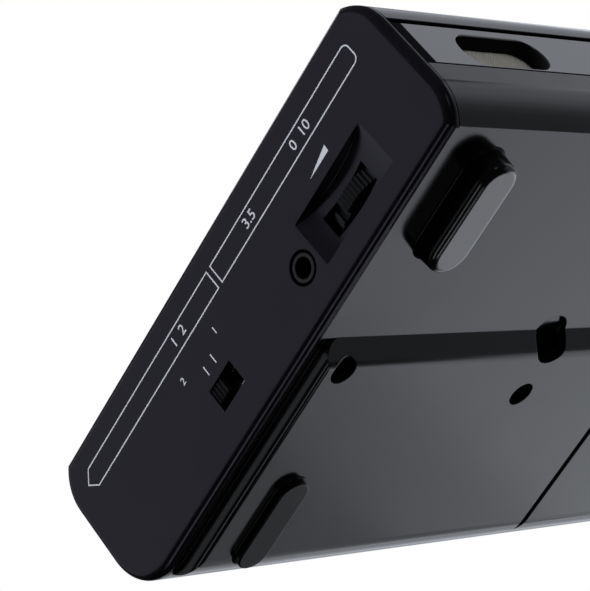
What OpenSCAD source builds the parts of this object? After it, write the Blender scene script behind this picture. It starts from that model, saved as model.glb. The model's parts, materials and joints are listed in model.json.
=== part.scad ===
// Pocket digital multitrack recorder: a flat desktop case made of two covers, two side panels
// and a belt between them, with its boards, connectors, cells, knobs, keys and sliders.
// X runs to the right, Y to the rear and Z up. The feet stand on Z = 0.

/* [Case] */
// Width over both side panels
body_w = 155; // [153:1:170]
// Depth from front to rear
body_d = 107; // [106:1:120]
// Height of a side panel
body_h = 30; // [29.6:0.2:36]
// Wall of the moulded covers
wall = 2; // [1.8:0.1:2.2]
// Radius of the rounded front, and of the rear above its middle
edge_r = 9.5; // [8.6:0.1:10]
// Height of the front's lower rounding, up from the crease it makes with the floor
low_rise = 7.2; // [6.4:0.1:8.4]
// Height of the upper rounding, down from the crease it makes with the top
high_drop = 7.7; // [6.8:0.1:8.5]
// Radius of the rear bottom corner
rear_bottom_r = 10; // [9:0.5:10.5]
// Open seam between neighbouring mouldings
seam = 0.2; // [0.1:0.05:0.3]

/* [Side panels] */
// Thickness of a side panel
cap_t = 2; // [1.9:0.1:2.6]
// Rounding of a side panel's outer edge
cap_edge_r = 1.7; // [0.8:0.1:1.8]
// Thickness of a side panel where the floor laps it
lap_t = 1.4; // [1.2:0.1:1.7]
// Reach of the locating rim into the covers
rim_len = 2; // [1:0.25:2.5]
// Thickness of the locating rim
rim_t = 1.2; // [0.8:0.1:1.5]

/* [Raised base block] */
// Depth of the base block below the front half
block_drop = 3; // [2:0.25:3.5]
// Length of the block, from its front edge to the rear of the case
block_len = 61.05; // [60:0.05:63]
// Run of the sloped front of the block
block_slope = 3.15; // [2:0.05:4]
// Rounding of the block's rear edge
block_rear_r = 8; // [6:0.5:8]
// Rounding of the block's side edges
block_edge_r = 1.1; // [0.6:0.1:1.4]
// Plan rounding of the block's front corners
block_corner_r = 3; // [2:0.5:5]
// Strip of flat floor left beside the block
block_strip = 0.7; // [0.5:0.1:1.5]

/* [Feet] */
// Height of the front feet
front_foot_h = 4.5; // [4:0.25:6]
// Half width of a front foot where it meets the case
front_foot_r = 4.35; // [4:0.05:5]
// Length of a front foot
front_foot_len = 22.2; // [19:0.2:24]
// Half width of a rear foot where it meets the block
rear_foot_r = 3.3; // [3:0.1:4]
// Length of a rear foot
rear_foot_len = 20.4; // [16:0.2:21]
// Distance of the feet from the side of the case
foot_inset = 13.5; // [13:0.1:16]

/* [Front belt] */
// Lower edge of the microphone bar, above the bottom of the side panel
bar_low = 11.45; // [10.8:0.05:12.5]
// Upper edge of the microphone bar, above the bottom of the side panel
bar_high = 21.6; // [20.8:0.1:21.8]
// How far the bar lies behind the front of the covers
bar_recess = 0.15; // [0.1:0.05:0.6]
// Length of a microphone slot
slot_len = 20.5; // [15:0.5:24]
// Height of a microphone slot
slot_h = 7.6; // [6:0.2:7.8]
// Distance of a slot's centre from the side of the case
slot_inset = 24.8; // [20:0.2:30]

/* [Left controls] */
// Distance of the volume wheel's axis from the front
wheel_setback = 25.5; // [24:0.1:26]
// Radius of the volume wheel
wheel_r = 9; // [8.5:0.25:9.25]
// Thickness of the volume wheel
wheel_t = 2.8; // [2:0.1:3.2]
// Length of the thumb scoop
scoop_len = 20.9; // [18:0.5:21]
// Height of the thumb scoop
scoop_h = 9.4; // [8:0.2:10]
// Depth of the thumb scoop
scoop_depth = 2.3; // [2:0.1:3]
// Radius of the headphone jack's bore
phones_r = 1.8; // [1.76:0.01:1.85]
// Distance of the headphone jack from the front
phones_setback = 39.2; // [38.6:0.1:39.8]
// Travel of the input switch
slide_travel = 3.7; // [2:0.1:4]

/* [Rear connectors] */
// Radius of an input jack's bore
input_r = 3.2; // [3.18:0.01:3.3]
// Length of an input jack's bore
input_len = 29.5; // [26:0.5:31]
// Distance between the two input jacks
input_pitch = 20; // [17:0.5:22]
// Radius of the power inlet's hollow
dc_r = 2.9; // [2.7:0.05:3.1]

/* [Battery bay] */
// Radius of a cell
cell_r = 7.25; // [7:0.05:7.3]
// Length of a cell
cell_len = 50.5; // [49:0.5:51]
// Width of the battery door
door_w = 60; // [59.5:0.5:62]
// Thickness of the battery door
door_t = 1.8; // [1.4:0.1:2]

/* [Top controls] */
// Distance between the track columns
track_pitch = 17; // [16.5:0.25:17.5]
// Radius of a level knob
level_r = 6; // [5:0.25:6.5]
// Height of a level knob
level_h = 6.5; // [5:0.25:7.5]
// Radius of a pan or trim knob
small_r = 4.5; // [4:0.25:5.5]
// Height of a pan or trim knob
small_h = 6; // [4:0.25:7]
// Radius of the data wheel
data_r = 17; // [14:0.5:18]
// Height of the data wheel
data_h = 4.2; // [3:0.2:6]
// How far a key stands above the top cover
key_rise = 1.3; // [1:0.1:2]
// Travel of a key
key_travel = 0.6; // [0.3:0.05:0.7]
// Width of the top taken by the mixer knobs
mixer_w = 84.5; // [84:0.5:88]

/* [Hidden] */
$fn = 64;

// Overshoot of a cut past the face it opens
over = 1;
// Running clearance of a turning or sliding fit, on radius
run = 0.05;
// Clearance of a loose passage
loose = 0.3;

// Planes of the case
left = -body_w / 2;
right = body_w / 2;
front = -body_d / 2;
rear = body_d / 2;
case_z = front_foot_h;
top_z = case_z + body_h;
under_top = top_z - wall;
cap_in = body_w / 2 - cap_t;
cover_end = cap_in - seam;

// Rounded ends of the section across the width, each as [y, z, radius], and the floor between them
ends = [
    [front + edge_r, case_z + low_rise, edge_r],
    [front + edge_r, top_z - high_drop, edge_r],
    [rear - edge_r, top_z - high_drop, edge_r],
    [rear - rear_bottom_r, case_z + rear_bottom_r, rear_bottom_r]
];
floor_y0 = front + edge_r - sqrt(pow(edge_r, 2) - pow(low_rise, 2)) + 0.3;
floor_y1 = rear - rear_bottom_r;
lap_x = body_w / 2 - lap_t;

// Belt openings of the covers
bar_z0 = case_z + bar_low;
bar_z1 = case_z + bar_high;
bar_face = front + bar_recess;
bar_back = front + wall + 0.1;
tongue_back = bar_back + 0.8;
tongue_lap_low = 1.8;
tongue_lap_high = 1.7;
bar_seam = 0.3;
shadow_gap = 0.8;
rear_z0 = case_z + rear_bottom_r - 0.4;
rear_z1 = top_z - high_drop - 0.5;
panel_face = rear - wall - 0.2;
panel_t = 2;
panel_back = panel_face - panel_t;
panel_lap_low = 1;
panel_lap_high = 0.6;
belt_end = cap_in - rim_len - loose;
rim_fit = 0.25;
slot_x = body_w / 2 - slot_inset;
slot_z = (bar_z0 + bar_z1) / 2 - 0.525;
slot_mouth_r = 0.3;
grille_t = 0.6;
grille_lap = 1;
bar_edge_r = 0.2;

// Base block and feet
block_z = case_z - block_drop;
block_front = rear - block_len;
block_half = cover_end - block_strip;
block_rear_c = rear - 13.5;
block_bend_r = 3;
slope_angle = atan(block_drop / block_slope);
bend_y = block_front + block_slope + block_bend_r * tan(slope_angle / 2);
front_foot_x = body_w / 2 - foot_inset;
front_foot_y = front + 18.2;
front_foot_tip = front_foot_r - 0.2;
front_foot_rim = 1.25;
rear_foot_x = front_foot_x + 0.05;
rear_foot_y = block_rear_c + 1.7 - rear_foot_len / 2;
rear_foot_tip = rear_foot_r - 0.1;
rear_foot_rim = 0.3;
foot_fillet = 0.35;

// Main board, set by the headphone jack that stands on it
phones_y = front + phones_setback;
phones_z = case_z + 9.05;
phones_half = 3.25;
phones_drop = 3.75;
phones_collar_r = phones_r + 0.6;
phones_hole_r = phones_collar_r + 0.55;
board_t = 1.6;
main_top = phones_z - phones_drop;
main_z = main_top - board_t;

// Thumb scoop, window and volume wheel
wheel_y = front + wheel_setback;
scoop_y = wheel_y - 0.6;
scoop_z0 = case_z + 5.35;
scoop_z1 = scoop_z0 + scoop_h;
scoop_r = (pow(scoop_len / 2, 2) + pow(scoop_depth, 2)) / (2 * scoop_depth);
scoop_axis_x = left + scoop_depth - scoop_r;
scoop_fillet = 0.3;
scoop_backing = 1.6;
scoop_lap = 1;
scoop_pad_x = left + scoop_depth + scoop_backing;
scoop_pad_y = sqrt(pow(scoop_r, 2) - pow(scoop_r - scoop_depth + cap_t, 2)) + scoop_backing;
window_len = 11.8;
window_h = 4.5;
window_z0 = scoop_z0 + (scoop_h - window_h) / 2 - 0.55;
wheel_z1 = window_z0 + window_h - loose;
wheel_z0 = wheel_z1 - wheel_t;
wheel_tip = left + 1.4;
wheel_x = wheel_tip + wheel_r;
wheel_teeth = 72;
wheel_tooth = 0.3;
wheel_post_r = 2.45;

// Slide switches
slider_w = 2.9;
slider_h = 2.9;
slider_base_l = 5;
slider_base_t = 1.2;
slider_back = 0.6;
switch_clear = 0.2;
switch_front = cap_in - 0.2;
switch_depth = 5;
slider_tip = body_w / 2 - 0.2;
input_slider_y = front + 66.8;
input_slider_z = case_z + 10.2;
input_window_z0 = case_z + 7;
input_window_h = 4.8;
input_switch_top = input_slider_z + 4;
power_slider_y = rear - 33.5;
power_switch_h = 4.1;
power_travel = 3;

// Panel board under the top cover, with the pots and keys on it
pot_w = 9.5;
pot_h = 4.2;
panel_top = under_top - 0.1 - pot_h;
panel_z = panel_top - board_t;
power_slider_z = panel_z - power_switch_h / 2;
board_x0 = left + 5.9;
board_y0 = front + 6;
board_gap = 0.8;
board_margin = 6;
board_corner_r = 3;
panel_margin = 6.5;

// Rear connectors
input_x = left + 29.5;
input_at = [input_x - input_pitch / 2, input_x + input_pitch / 2];
input_z = case_z + 15.8;
input_half_w = 7.5;
input_half_h = 6;
input_bush_r = 4.5;
input_mouth = rear - 0.2;
nut_r = 5.9;
nut_t = 1.5;
dc_z = case_z + 14.6;
dc_half = 4.5;
dc_nose_r = 3.7;
dc_pin_r = 1;
dc_depth = 9;
usb_w = 7.7;
usb_h = 3.9;
usb_z0 = rear_z0 + 0.7;
usb_wall = 0.35;

// Cells, tray and door
cell_pitch = 2 * cell_r + 0.2;
cells = 4;
bay_x = body_w / 2 - 36;
cell_y0 = rear - 60.4;
cell_y1 = cell_y0 + cell_len;
cell_z = case_z + wall + 0.1 + cell_r;
cradle_r = cell_r + loose;
bay_half = (cells - 1) / 2 * cell_pitch + cell_r + loose;
contact_t = 0.6;
contact_gap = 0.5;
tray_wall = 1.2;
bay_y0 = cell_y0 - contact_gap - contact_t;
bay_y1 = cell_y1 + contact_gap + contact_t;
tray_top = cell_z + cradle_r + 1.1;
tray_right = bay_x + bay_half + 2;
door_y0 = rear - 52.3;
door_x0 = bay_x - door_w / 2;
door_x1 = bay_x + door_w / 2;
door_top = case_z + 0.4;
door_edge = 0.7;
tongue_reach = 1.2;
tray_left = door_x0 - tongue_reach - loose - tray_wall;
usb_x = tray_left - 1 - usb_w / 2;
dc_x = usb_x - 14;
tongue_t = 1;
tongue_y0 = door_y0 + 2;
tongue_setback = 18;
tongue_y1 = rear - tongue_setback;
rail_z = block_z + wall + 0.1;

// Memory card slot and its hinged door in the right side panel
card_w = 24.6;
card_t = 2.4;
card_gap = 0.5;
card_len = 26;
card_wall = 1.3;
card_back = 2;
card_socket_w = card_w + 2 * card_wall;
card_y = bay_y0 - tray_wall - card_gap - card_socket_w / 2;
card_socket_h = 3.8;
card_mouth = cap_in - 1.3;
card_door_half = 12.5;
card_door_h = 7;
card_hinge_r = 1.4;
card_hinge_x = body_w / 2 - card_hinge_r;
card_hinge_z = main_top - 0.8;
card_pin_r = 0.7;
card_pin_len = 1;
card_lug_w = 1.5;
card_lug_h = 2.2;

// Screws that hold the covers together
screw_at = [
    [left + 7.7, front + 50.7], [left + 59.2, front + 58.7],
    [card_mouth - card_len - card_back - 6, front + 9.5]
];
screw_access_r = 2.55;
screw_head_r = 2;
screw_head_h = 1.8;
screw_r = 1.25;
screw_seat = main_z - 1.3;
screw_tube_r = 3.5;
screw_top = case_z + 18;
screw_boss_r = 2.8;
screw_boss_z = main_top + 2.2;
relief_at = [left + 59.9, block_front + 1.15];
relief_r = 4.2;
relief_top = case_z + 1;

// Places of the top controls, the rows as shares of the depth
function row_y(share) = front + share * body_d;
knob_z = top_z + 0.4;
stem_r = 2.45;
stem_z = panel_top + 1;
stem_hole_r = stem_r + 0.45;
master_r = 7;
track_x = [for (k = [0:3]) left + 16.5 + k * track_pitch];
trim_y = row_y(0.855);
pan_y = row_y(0.678);
level_y = row_y(0.5);
arm_y = row_y(0.332);
transport_y = row_y(0.145);
menu_y = row_y(0.547);
master_at = [left + 60, trim_y];
data_at = [right - 33.5, row_y(0.257)];
lens_side = 10.5;
lens_w = body_w - mixer_w - lens_side;
lens_d = 0.28 * body_d;
lens_at = [right - lens_side - lens_w / 2, row_y(0.762)];
lens_t = 1.2;
lens_ledge = 4;
lens_r = 2;
module_margin = 2;
key_flange = 0.8;
key_lip = 0.8;
key_z = under_top - loose - key_flange;
key_top = top_z + key_rise;
key_edge_r = 0.7;
switch_top = key_z - key_travel - 0.2;
menu_pitch = lens_w / 4;
menu_gap = 5;
arm_size = [10, 5.5];
menu_size = [menu_pitch - menu_gap, 5];
transport_size = [13, 9];
arm_at = [for (x = track_x) [x, arm_y]];
menu_at = [for (k = [0:3]) [lens_at[0] + (k - 1.5) * menu_pitch, menu_y]];
transport_at = [for (k = [0:4]) [left + 16.5 + k * 16, transport_y]];
pot_at = concat(
    [for (x = track_x) [x, level_y]],
    [for (x = track_x) [x, pan_y]],
    [[track_x[0], trim_y], [track_x[1], trim_y], master_at]
);
post_at = [[left + 9, rear - 9], [right - 9, rear - 9], [left + 8.5, front + 26]];
foot_post_at = [
    [left + 17, front + 9.5], [right - 17, front + 9.5], [left + 13, rear - 17], [tray_left - 6, rear - 17]
];
foot_post_r = 3;
post_r = 2.5;

// Extrusions along the three axes
module along_x(x0, x1) {
    translate([x0, 0, 0]) rotate([90, 0, 90]) linear_extrude(x1 - x0) children();
}

module along_y(y0, y1) {
    translate([0, y1, 0]) rotate([90, 0, 0]) linear_extrude(y1 - y0) children();
}

module along_z(z0, z1) {
    translate([0, 0, z0]) linear_extrude(z1 - z0) children();
}

module rod_x(x0, x1, y, z, r) {
    translate([x0, y, z]) rotate([0, 90, 0]) cylinder(r = r, h = x1 - x0);
}

module rod_y(y0, y1, x, z, r) {
    translate([x, y1, z]) rotate([90, 0, 0]) cylinder(r = r, h = y1 - y0);
}

module rod_z(z0, z1, at, r) {
    translate([at[0], at[1], z0]) cylinder(r = r, h = z1 - z0);
}

module box(x0, x1, y0, y1, z0, z1) {
    translate([x0, y0, z0]) cube([x1 - x0, y1 - y0, z1 - z0]);
}

// What a round corner of radius r takes off a square one; sa and sb point into the shape
module corner_off(a, b, sa, sb, r) {
    lap = 0.5;
    difference() {
        translate([a + sa * (r / 2 - lap), b + sb * (r / 2 - lap)]) square(r + 2 * lap, center = true);
        translate([a + sa * r, b + sb * r]) circle(r);
    }
}

// Rectangle from (a0, b0) to (a1, b1) with one radius at all corners
module round_rect(a0, b0, a1, b1, r) {
    difference() {
        translate([a0, b0]) square([a1 - a0, b1 - b0]);
        corner_off(a0, b0, 1, 1, r);
        corner_off(a1, b0, -1, 1, r);
        corner_off(a1, b1, -1, -1, r);
        corner_off(a0, b1, 1, -1, r);
    }
}

module plate(at, size, r) {
    round_rect(at[0] - size[0] / 2, at[1] - size[1] / 2, at[0] + size[0] / 2, at[1] + size[1] / 2, r);
}

// Flat outline with half-round ends, its long axis along the first coordinate
module stadium(a, b, len, h) {
    translate([a - len / 2 + h / 2, b - h / 2]) square([len - h, h]);
    for (s = [-1, 1]) translate([a + s * (len - h) / 2, b]) circle(h / 2);
}

// Section of the case across its width, drawn in from its skin by inset
module case_section(inset) {
    intersection() {
        translate([front + inset, case_z + inset]) square([body_d - 2 * inset, body_h - 2 * inset]);
        union() {
            for (e = ends) translate([e[0], e[1]]) circle(e[2] - inset);
            polygon([
                [front + inset, case_z + low_rise],
                [front + inset, top_z - high_drop],
                [front + edge_r, top_z - inset],
                [rear - edge_r, top_z - inset],
                [rear - inset, top_z - high_drop],
                [rear - inset, case_z + rear_bottom_r],
                [rear - rear_bottom_r, case_z + inset],
                [front + edge_r, case_z + inset]
            ]);
        }
    }
}

function slope_y(z, inset) =
    block_front + block_slope * (case_z - z) / block_drop
    + inset * sqrt(pow(block_slope, 2) + pow(block_drop, 2)) / block_drop;

// Section of the base block: sloped front with a rounded foot, flat underside and rounded rear edge
module block_section(inset, reach) {
    bend = block_bend_r - inset;
    intersection() {
        union() {
            polygon([
                [slope_y(case_z + inset, inset), case_z + reach],
                [slope_y(case_z + inset, inset), case_z + inset],
                [bend_y - bend * sin(slope_angle), block_z + block_bend_r - bend * cos(slope_angle)],
                [bend_y, block_z + inset],
                [block_rear_c, block_z + inset],
                [block_rear_c, case_z + reach]
            ]);
            translate([bend_y, block_z + block_bend_r]) circle(bend);
            translate([block_rear_c, block_z + block_rear_r]) circle(block_rear_r - inset);
        }
        translate([front, 0]) square([body_d, case_z + reach]);
    }
}

module block_solid() {
    reach = wall / 2;
    intersection() {
        along_x(-block_half, block_half) block_section(0, reach);
        along_z(block_z - over, case_z + reach + over)
            round_rect(-block_half, block_front, block_half, rear + block_corner_r, block_corner_r);
        along_y(block_front - over, rear + over) difference() {
            translate([-block_half, block_z]) square([2 * block_half, block_drop + reach + over]);
            corner_off(-block_half, block_z, 1, 1, block_edge_r);
            corner_off(block_half, block_z, -1, 1, block_edge_r);
        }
    }
}

module cover_half(front_edge, rear_edge, upper) {
    z0 = upper ? front_edge : case_z - over;
    z1 = upper ? top_z + over : front_edge;
    w0 = upper ? rear_edge : case_z - over;
    w1 = upper ? top_z + over : rear_edge;
    intersection() {
        case_section(0);
        union() {
            translate([front - over, z0]) square([body_d / 2 + over, z1 - z0]);
            translate([0, w0]) square([body_d / 2 + over, w1 - w0]);
        }
    }
}

module top_cover() {
    color("#2b2c30") difference() {
        union() {
            difference() {
                along_x(-cover_end, cover_end) cover_half(bar_z1 + shadow_gap, rear_z1, true);
                along_x(-cover_end - over, cover_end + over) case_section(wall);
            }
            for (p = post_at) rod_z(panel_top, under_top + wall / 2, p, post_r);
            for (p = screw_at) rod_z(screw_boss_z, under_top + wall / 2, p, screw_boss_r);
        }
        for (p = screw_at) rod_z(screw_boss_z - over, screw_top + over, p, screw_r + run);
        for (p = pot_at) rod_z(under_top - over, top_z + over, p, stem_hole_r);
        rod_z(under_top - over, top_z + over, data_at, stem_hole_r);
        for (p = arm_at) key_hole(p, arm_size);
        for (p = menu_at) key_hole(p, menu_size);
        for (p = transport_at) key_hole(p, transport_size);
        along_z(top_z - lens_t, top_z + over)
            plate(lens_at, [lens_w + seam, lens_d + seam], lens_r);
        along_z(under_top - over, top_z)
            plate(lens_at, [lens_w - 2 * lens_ledge, lens_d - 2 * lens_ledge], lens_r);
    }
}

module key_hole(at, size) {
    along_z(under_top - over, top_z + over) plate(at, [size[0] + 2 * loose, size[1] + 2 * loose], key_edge_r);
}

module bottom_cover() {
    color("#26272b") difference() {
        union() {
            difference() {
                union() {
                    along_x(-cover_end, cover_end) cover_half(bar_z0 - bar_seam, rear_z0, false);
                    box(seam - lap_x, lap_x - seam, floor_y0, floor_y1, case_z, case_z + wall);
                    block_solid();
                }
                along_x(-cover_end - over, cover_end + over) case_section(wall);
                along_x(wall - block_half, block_half - wall) block_section(wall, wall + over);
            }
            for (p = screw_at) rod_z(case_z + wall / 2, screw_seat + 1.2, p, screw_tube_r);
            intersection() {
                block_solid();
                for (p = screw_at) rod_z(block_z, case_z + wall, p, screw_tube_r);
            }
            for (p = foot_post_at) rod_z(floor_z(p), main_z, p, foot_post_r);
            rod_z(case_z + wall / 2, relief_top + wall, relief_at, relief_r + wall);
        }
        for (p = screw_at) {
            rod_z(-over, screw_seat, p, screw_access_r);
            rod_z(screw_seat - over, main_z + over, p, screw_r + loose);
        }
        rod_z(-over, relief_top, relief_at, relief_r);
        box(door_x0 - seam, door_x1 + seam, door_y0 - seam, rear + over, -over, door_top + seam);
        along_y(door_y0 - seam, rear + over) for (s = [-1, 1]) door_groove(bay_x + s * (door_w / 2 + seam));
        box(door_x0 - tongue_reach - loose, door_x1 + tongue_reach + loose, tongue_y0 - loose, rear + over,
            block_z + wall, door_top + seam);
    }
}

// Middle of the floor's thickness under a point: lower behind the front of the block
function floor_z(p) = (p[1] > block_front + block_slope ? block_z : case_z) + wall / 2;

// Outer edge of a side panel in section: b0 is inside the panel and b1 on its edge
module edge_section(b0, b1) {
    s = b1 > b0 ? 1 : -1;
    difference() {
        translate([left, min(b0, b1)]) square([cap_t, abs(b1 - b0)]);
        corner_off(left, b1, 1, -s, cap_edge_r);
    }
}

module corner_puck(y, z, r) {
    translate([left, y, z]) rotate([0, 90, 0]) rotate_extrude() difference() {
        square([r, cap_t]);
        corner_off(r, 0, -1, 1, cap_edge_r);
    }
}

// Left-hand panel blank with a rounded outer edge all the way round, and a lap for the floor
module panel_blank() {
    mid = case_z + body_h / 2;
    difference() {
        intersection() {
            along_y(front, rear) {
                edge_section(mid, case_z);
                edge_section(mid, top_z);
            }
            union() {
                for (e = ends) corner_puck(e[0], e[1], e[2]);
                along_z(case_z + low_rise, top_z - high_drop) edge_section(0, front);
                along_z(case_z + rear_bottom_r, top_z - high_drop) edge_section(0, rear);
                box(left, -cap_in, front + edge_r, rear - rear_bottom_r, case_z, top_z);
            }
        }
        box(-lap_x, over - cap_in, floor_y0 - seam, floor_y1 + seam, case_z - over, case_z + wall + seam);
    }
    along_x(-cap_in - cap_t / 2, rim_len - cap_in) difference() {
        case_section(wall + rim_fit);
        case_section(wall + rim_fit + rim_t);
    }
}

// Cut for a slider that rests at y and travels from there by the signed amount
module switch_window(side, y, travel, z0, h) {
    x = side * (cap_in + cap_t / 2);
    reach = slider_w / 2 + switch_clear;
    box(x - cap_t, x + cap_t, min(y, y + travel) - reach, max(y, y + travel) + reach, z0, z0 + h);
}

module left_side_panel() {
    color("#1c1c21") difference() {
        union() {
            panel_blank();
            box(-cap_in - cap_t / 4, scoop_pad_x, scoop_y - scoop_pad_y, scoop_y + scoop_pad_y,
                scoop_z0 - scoop_lap, scoop_z1 + scoop_lap);
        }
        translate([scoop_axis_x, scoop_y, scoop_z0]) rotate_extrude() difference() {
            square([scoop_r, scoop_h]);
            corner_off(scoop_r, scoop_h, -1, -1, scoop_fillet);
        }
        box(left, scoop_pad_x + over, wheel_y - window_len / 2, wheel_y + window_len / 2,
            window_z0, window_z0 + window_h);
        rod_z(wheel_z0 - loose, wheel_z1 + loose, [wheel_x, wheel_y], wheel_r + loose);
        rod_x(left - over, over - cap_in, phones_y, phones_z, phones_hole_r);
        switch_window(-1, input_slider_y, -slide_travel, input_window_z0, input_window_h);
    }
}

module right_side_panel() {
    half = card_door_half + loose;
    color("#1c1c21") difference() {
        union() {
            mirror([1, 0, 0]) panel_blank();
            for (s = [-1, 1]) translate([cap_in, card_y + s * (half + card_lug_w / 2), card_hinge_z])
                cube([cap_t, card_lug_w, card_lug_h], center = true);
        }
        box(cap_in - over, right + over, card_y - half, card_y + half,
            card_hinge_z - card_hinge_r - loose, card_hinge_z + card_door_h + loose);
        rod_y(card_y - half - card_pin_len - loose, card_y + half + card_pin_len + loose,
            card_hinge_x, card_hinge_z, card_pin_r + run);
        switch_window(1, power_slider_y, power_travel, power_slider_z - power_switch_h / 2, power_switch_h);
    }
}

// Outlines of both microphone slots, grown by lap all round
module mic_slots(lap) {
    for (s = [-1, 1]) stadium(s * slot_x, slot_z, slot_len + 2 * lap, slot_h + 2 * lap);
}

// Rounded mouth of a slot in half section, from its axis outward and from the face inward
module mouth_section() {
    half = slot_h / 2;
    difference() {
        translate([0, -over]) square([half + slot_mouth_r, slot_mouth_r + over]);
        translate([half + slot_mouth_r, slot_mouth_r]) circle(slot_mouth_r);
    }
}

module slot_mouth(x) {
    run_half = (slot_len - slot_h) / 2;
    for (s = [-1, 1]) translate([x + s * run_half, bar_face, slot_z]) rotate([-90, 0, 0])
        rotate_extrude() mouth_section();
    along_x(x - run_half, x + run_half) translate([bar_face, slot_z]) {
        mirror([1, -1]) mouth_section();
        mirror([0, 1]) mirror([1, -1]) mouth_section();
    }
}

module mic_bar() {
    color("#3a3b3f") difference() {
        union() {
            along_x(seam - cap_in, cap_in - seam) difference() {
                translate([bar_face, bar_z0]) square([bar_back - bar_face, bar_z1 - bar_z0]);
                corner_off(bar_face, bar_z0, 1, 1, bar_edge_r);
                corner_off(bar_face, bar_z1, 1, -1, bar_edge_r);
            }
            box(-belt_end, belt_end, bar_back, tongue_back,
                bar_z0 - tongue_lap_low, bar_z1 + tongue_lap_high);
        }
        along_y(bar_face - over, tongue_back + over) mic_slots(0);
        for (s = [-1, 1]) slot_mouth(s * slot_x);
    }
}

module mic_grilles() {
    color("#b9a98a") along_y(tongue_back, tongue_back + grille_t) mic_slots(grille_lap);
}

module mic_capsules() {
    capsule_r = 4.5;
    capsule_len = 6;
    back = tongue_back + grille_t;
    color("silver") for (s = [-1, 1]) rod_y(back, back + capsule_len, s * slot_x, slot_z, capsule_r);
}

module rear_panel() {
    color("#1c1c21") difference() {
        box(-belt_end, belt_end, panel_back, panel_face, rear_z0 - panel_lap_low, rear_z1 + panel_lap_high);
        for (x = input_at) rod_y(panel_back - over, panel_face + over, x, input_z, input_bush_r + loose);
        rod_y(panel_back - over, panel_face + over, dc_x, dc_z, dc_nose_r + loose);
        box(usb_x - usb_w / 2 - loose, usb_x + usb_w / 2 + loose, panel_back - over, panel_face + over,
            usb_z0 - loose, usb_z0 + usb_h + loose);
    }
}

// Half section of a foot, from its tread at zero up to where it joins the case
module foot_section(r0, r1, h, rim) {
    polygon([[0, 0], [r1 - rim, 0], [r1 - rim, h], [0, h]]);
    polygon([[r1 - rim, rim], [r1, rim], [r0, h - foot_fillet], [r0, h], [r1 - rim, h]]);
    translate([r1 - rim, rim]) circle(rim);
    difference() {
        translate([r1 - rim, h - foot_fillet]) square([r0 + foot_fillet - r1 + rim, foot_fillet]);
        translate([r0 + foot_fillet, h - foot_fillet]) circle(foot_fillet);
    }
}

module foot(x, y, len, r0, r1, h, rim) {
    run_half = len / 2 - r0;
    translate([x, y, 0]) {
        for (s = [-1, 1]) translate([0, s * run_half, 0]) rotate_extrude() foot_section(r0, r1, h, rim);
        along_y(-run_half, run_half) {
            foot_section(r0, r1, h, rim);
            mirror([1, 0]) foot_section(r0, r1, h, rim);
        }
    }
}

module rear_foot(x) {
    foot(x, rear_foot_y, rear_foot_len, rear_foot_r, rear_foot_tip, block_z, rear_foot_rim);
}

module front_feet() {
    color("#232428") for (s = [-1, 1])
        foot(s * front_foot_x, front_foot_y, front_foot_len, front_foot_r, front_foot_tip, case_z,
            front_foot_rim);
}

module rear_left_foot() {
    color("#232428") rear_foot(-rear_foot_x);
}

module rear_right_foot() {
    color("#232428") rear_foot(rear_foot_x);
}

module case_screws() {
    color("#3c3c40") for (p = screw_at) difference() {
        union() {
            rod_z(screw_seat - screw_head_h, screw_seat, p, screw_head_r);
            rod_z(screw_seat, screw_top, p, screw_r);
        }
        for (a = [0, 90]) translate([p[0], p[1], screw_seat - screw_head_h]) rotate(a)
            cube([2.4, 0.6, 1.6], center = true);
    }
}

module display_window() {
    color("#101216") along_z(top_z - lens_t, top_z) plate(lens_at, [lens_w, lens_d], lens_r);
}

module display_module() {
    size = [lens_w - 2 * module_margin, lens_d - 2 * module_margin];
    color("#8d9a86") difference() {
        along_z(panel_top, under_top - 0.1) plate(lens_at, size, 1);
        along_z(under_top - 0.6, under_top) plate(lens_at, [size[0] - 8, size[1] - 8], 1);
    }
}

module main_board() {
    color("#1f5a36") difference() {
        along_z(main_z, main_top) union() {
            translate([board_x0, board_y0]) square([tray_left - board_gap - board_x0, rear - 7 - board_y0]);
            translate([0, board_y0])
                square([right - board_margin, bay_y0 - tray_wall - board_gap - board_y0]);
        }
        for (p = screw_at) rod_z(main_z - over, main_top + over, p, screw_r + board_gap);
    }
}

module panel_board() {
    color("#1f5a36") difference() {
        along_z(panel_z, panel_top)
            plate([0, 0], [body_w - 2 * panel_margin, body_d - 2 * panel_margin], board_corner_r);
        for (p = screw_at) rod_z(panel_z - over, panel_top + over, p, screw_boss_r + loose);
    }
}

module battery_tray() {
    z0 = case_z + wall;
    tray_cut_y = 1.5;
    tray_cut_h = 4;
    color("#2e2f33") difference() {
        union() {
            box(tray_left, tray_right, bay_y0 - tray_wall, bay_y1 + tray_wall, z0, tray_top);
            box(tray_left, tray_left + tray_wall, door_y0, tongue_y1, block_z + wall, z0 + over);
        }
        box(bay_x - bay_half, bay_x + bay_half, bay_y0, bay_y1, z0 - over, cell_z);
        for (k = [0:cells - 1]) rod_y(bay_y0, bay_y1, cell_x(k), cell_z, cradle_r);
        box(tray_left - over, tray_right + over, cell_y1 - tray_cut_y, bay_y1 + tray_wall + over,
            z0 - over, z0 + tray_cut_h);
    }
}

function cell_x(k) = bay_x + (k - (cells - 1) / 2) * cell_pitch;

module battery_cells() {
    nub_len = 1.2;
    nub_r = 2.7;
    color("#d8d3c4") for (k = [0:cells - 1]) {
        turned = k % 2;
        rod_y(cell_y0 + (turned ? nub_len : 0), cell_y1 - (turned ? 0 : nub_len), cell_x(k), cell_z, cell_r);
        rod_y(turned ? cell_y0 : cell_y1 - nub_len - over, turned ? cell_y0 + nub_len + over : cell_y1,
            cell_x(k), cell_z, nub_r);
    }
}

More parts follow.
